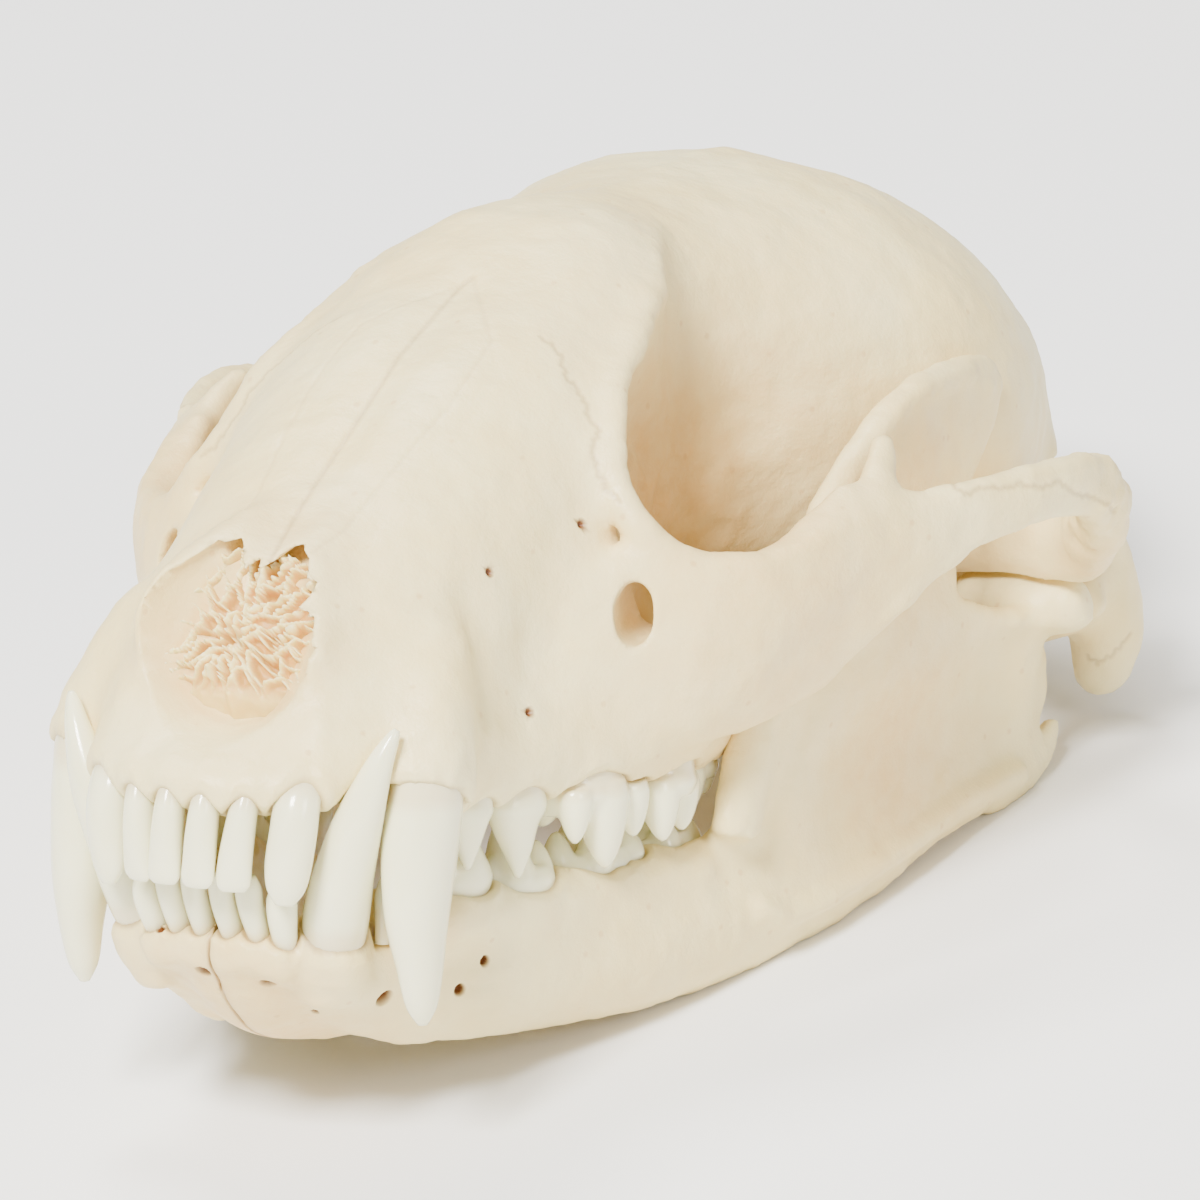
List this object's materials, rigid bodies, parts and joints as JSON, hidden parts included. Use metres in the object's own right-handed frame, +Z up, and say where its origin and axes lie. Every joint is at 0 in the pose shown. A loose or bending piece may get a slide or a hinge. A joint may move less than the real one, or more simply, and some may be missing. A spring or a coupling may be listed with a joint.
{
  "type": "raccoon skull",
  "caption": "Cleaned raccoon skull with its lower jaw closed and all its teeth, resting on the jaw's under-edge; a display bone.",
  "frame": {"origin": "middle of the bounding box's base, on the surface that the skull rests on", "axes": "+X to the animal's left, +Y from the snout to the back of the head, +Z up from the surface"},
  "size_m": [0.076, 0.1155, 0.0543],
  "materials": {
    "bone": "smooth, matt to satin, warm ivory",
    "tooth": "glossy enamel, cooler and whiter than the bone"
  },
  "bodies": {
    "root": {"cranium": "bone", "left_jaw": "bone", "right_jaw": "bone", "left_upper_first_incisor": "tooth", "left_upper_second_incisor": "tooth", "left_upper_third_incisor": "tooth", "left_upper_canine": "tooth", "left_upper_first_premolar": "tooth", "left_upper_second_premolar": "tooth", "left_upper_third_premolar": "tooth", "left_upper_fourth_premolar": "tooth", "left_upper_first_molar": "tooth", "left_upper_second_molar": "tooth", "left_lower_first_incisor": "tooth", "left_lower_second_incisor": "tooth", "left_lower_third_incisor": "tooth", "left_lower_canine": "tooth", "left_lower_first_premolar": "tooth", "left_lower_second_premolar": "tooth", "left_lower_third_premolar": "tooth", "left_lower_fourth_premolar": "tooth", "left_lower_first_molar": "tooth", "left_lower_second_molar": "tooth", "right_upper_first_incisor": "tooth", "right_upper_second_incisor": "tooth", "right_upper_third_incisor": "tooth", "right_upper_canine": "tooth", "right_upper_first_premolar": "tooth", "right_upper_second_premolar": "tooth", "right_upper_third_premolar": "tooth", "right_upper_fourth_premolar": "tooth", "right_upper_first_molar": "tooth", "right_upper_second_molar": "tooth", "right_lower_first_incisor": "tooth", "right_lower_second_incisor": "tooth", "right_lower_third_incisor": "tooth", "right_lower_canine": "tooth", "right_lower_first_premolar": "tooth", "right_lower_second_premolar": "tooth", "right_lower_third_premolar": "tooth", "right_lower_fourth_premolar": "tooth", "right_lower_first_molar": "tooth", "right_lower_second_molar": "tooth"}
  },
  "joints": []
}
